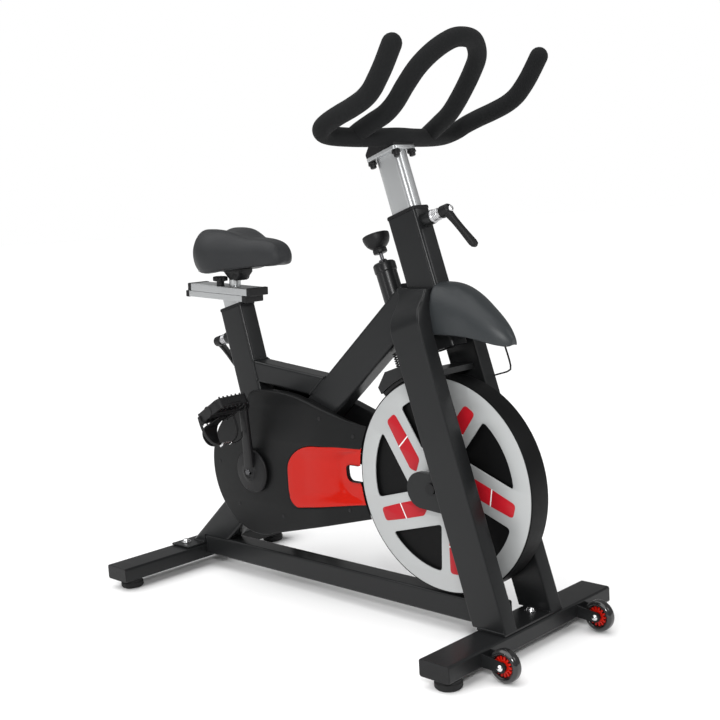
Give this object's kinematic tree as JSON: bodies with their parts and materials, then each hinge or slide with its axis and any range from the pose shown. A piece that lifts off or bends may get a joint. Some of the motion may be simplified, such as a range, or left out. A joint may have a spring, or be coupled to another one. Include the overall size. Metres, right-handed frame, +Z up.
{
  "type": "indoor spin bike",
  "caption": "Indoor cycle with a spoked front flywheel, belt drive under covers, toe-cage pedals, friction brake, sliding saddle and height-adjustable multi-grip handlebar.",
  "frame": {"origin": "on the floor, under the middle of the bike's outer box", "axes": "+X the way the rider faces, +Y the rider's left, +Z up"},
  "size_m": [1.178, 0.55, 1.2381],
  "materials": {
    "frame_black": "semi-gloss black powder coat",
    "cover_black": "satin black moulded plastic",
    "insert_red": "glossy red",
    "wheel_black": "satin black paint",
    "wheel_face": "silver paint, satin",
    "post_silver": "silver paint, semi-gloss",
    "steel": "zinc plated",
    "crank_black": "black paint",
    "knob_black": "satin black",
    "rubber_black": "matte",
    "foam_black": "matte closed-cell foam",
    "saddle_vinyl": "matte synthetic leather"
  },
  "bodies": {
    "frame": {"main_beam": "frame_black", "seat_tube": "frame_black", "seat_brace": "frame_black", "head_tube": "frame_black", "fork_leg_right": "frame_black", "fork_leg_left": "frame_black", "leg_cross_plate": "frame_black", "front_stabilizer": "frame_black", "rear_stabilizer": "frame_black", "bottom_beam": "frame_black", "front_mount_plate": "frame_black", "rear_mount_plate": "frame_black", "brake_tube": "frame_black", "front_mount_bolt_right": "steel", "front_mount_bolt_left": "steel", "rear_mount_bolt_right": "steel", "rear_mount_bolt_left": "steel", "flywheel_axle": "steel", "bottom_bracket_bearing": "steel", "brake_spring": "steel", "wire_holder": "steel", "drive_belt": "rubber_black", "belt_cover_right": "cover_black", "belt_cover_left": "cover_black", "front_guard": "cover_black", "cover_insert": "insert_red", "seat_collar": "knob_black", "head_collar": "knob_black"},
    "flywheel": {"flywheel": "wheel_black", "flywheel_face": "wheel_face", "hub_pulley": "steel"},
    "crank": {"crank_spindle": "steel", "crank_pulley": "steel", "crank_arm_right": "crank_black", "crank_arm_left": "crank_black"},
    "pedal_right": {"pedal_right": "knob_black", "toe_cage_right": "knob_black"},
    "pedal_left": {"pedal_left": "knob_black", "toe_cage_left": "knob_black"},
    "handlebar": {"handlebar_post": "post_silver", "handlebar_clamp": "knob_black", "handlebar": "foam_black"},
    "seat_post": {"seat_post": "post_silver", "seat_rail": "post_silver"},
    "seat_slider": {"seat_slider": "post_silver", "saddle_clamp": "knob_black", "saddle": "saddle_vinyl"},
    "seat_knob": {"seat_slide_knob": "knob_black"},
    "head_lever": {"head_clamp_lever": "knob_black"},
    "seat_lever": {"seat_clamp_lever": "knob_black"},
    "brake": {"brake_rod": "steel", "brake_shoe": "frame_black", "brake_pad": "rubber_black"},
    "brake_knob": {"brake_knob": "knob_black"},
    "wheel_right": {"transport_wheel_right": "rubber_black"},
    "wheel_left": {"transport_wheel_left": "rubber_black"},
    "foot_front_right": {"front_foot_right": "rubber_black"},
    "foot_front_left": {"front_foot_left": "rubber_black"},
    "foot_rear_right": {"rear_foot_right": "rubber_black"},
    "foot_rear_left": {"rear_foot_left": "rubber_black"}
  },
  "joints": [
    {"name": "flywheel_spin", "type": "hinge", "parent": "frame", "child": "flywheel", "pos_m": [0.306, 0, 0.321], "axis": [0, 1, 0], "continuous": true},
    {"name": "crank_spin", "type": "hinge", "parent": "frame", "child": "crank", "pos_m": [-0.263, 0, 0.291], "axis": [0, 1, 0], "continuous": true},
    {"name": "pedal_right_spin", "type": "hinge", "parent": "crank", "child": "pedal_right", "pos_m": [-0.24228, -0.15, 0.45973], "axis": [0, 1, 0], "continuous": true},
    {"name": "pedal_left_spin", "type": "hinge", "parent": "crank", "child": "pedal_left", "pos_m": [-0.28372, 0.15, 0.12227], "axis": [0, 1, 0], "continuous": true},
    {"name": "handlebar_height", "type": "slide", "parent": "frame", "child": "handlebar", "axis": [-0.2974, 0, 0.9548], "range_m": [-0.1, 0.09]},
    {"name": "seat_height", "type": "slide", "parent": "frame", "child": "seat_post", "axis": [-0.2504, 0, 0.9681], "range_m": [0, 0.17]},
    {"name": "seat_fore_aft", "type": "slide", "parent": "seat_post", "child": "seat_slider", "axis": [0.9983, 0, -0.0576], "range_m": [-0.05, 0.05]},
    {"name": "seat_knob_turn", "type": "hinge", "parent": "seat_slider", "child": "seat_knob", "pos_m": [-0.38101, -0.02, 0.70766], "axis": [0.0576, 0, 0.9983], "range_deg": [-180, 180]},
    {"name": "head_lever_turn", "type": "hinge", "parent": "frame", "child": "head_lever", "pos_m": [0.23656, 0, 0.85729], "axis": [0.9548, 0, 0.2974], "range_deg": [-180, 180]},
    {"name": "seat_lever_turn", "type": "hinge", "parent": "frame", "child": "seat_lever", "pos_m": [-0.32921, 0, 0.61743], "axis": [0.9681, 0, 0.2504], "range_deg": [-160, 70]},
    {"name": "brake_press", "type": "slide", "parent": "frame", "child": "brake", "axis": [0.3173, 0, -0.9483], "range_m": [0, 0.0022], "stiffness_N_per_m": 6000, "springref_m": -0.004},
    {"name": "brake_knob_turn", "type": "hinge", "parent": "brake", "child": "brake_knob", "pos_m": [0.306, 0, 0.321], "axis": [-0.3173, 0, 0.9483], "range_deg": [-180, 180]},
    {"name": "wheel_right_spin", "type": "hinge", "parent": "frame", "child": "wheel_right", "pos_m": [0.5565, -0.1613, 0.036], "axis": [0, 1, 0], "continuous": true},
    {"name": "wheel_left_spin", "type": "hinge", "parent": "frame", "child": "wheel_left", "pos_m": [0.5565, 0.1613, 0.036], "axis": [0, 1, 0], "continuous": true},
    {"name": "foot_front_right_turn", "type": "hinge", "parent": "frame", "child": "foot_front_right", "pos_m": [0.4795, -0.2375, 0], "axis": [0, 0, 1], "range_deg": [-180, 180]},
    {"name": "foot_front_left_turn", "type": "hinge", "parent": "frame", "child": "foot_front_left", "pos_m": [0.4795, 0.2375, 0], "axis": [0, 0, 1], "range_deg": [-180, 180]},
    {"name": "foot_rear_right_turn", "type": "hinge", "parent": "frame", "child": "foot_rear_right", "pos_m": [-0.548, -0.235, 0], "axis": [0, 0, 1], "range_deg": [-180, 180]},
    {"name": "foot_rear_left_turn", "type": "hinge", "parent": "frame", "child": "foot_rear_left", "pos_m": [-0.548, 0.235, 0], "axis": [0, 0, 1], "range_deg": [-180, 180]}
  ],
  "couplings": [
    {"joint": "crank_spin", "follows": "flywheel_spin", "ratio": 0.3}
  ]
}
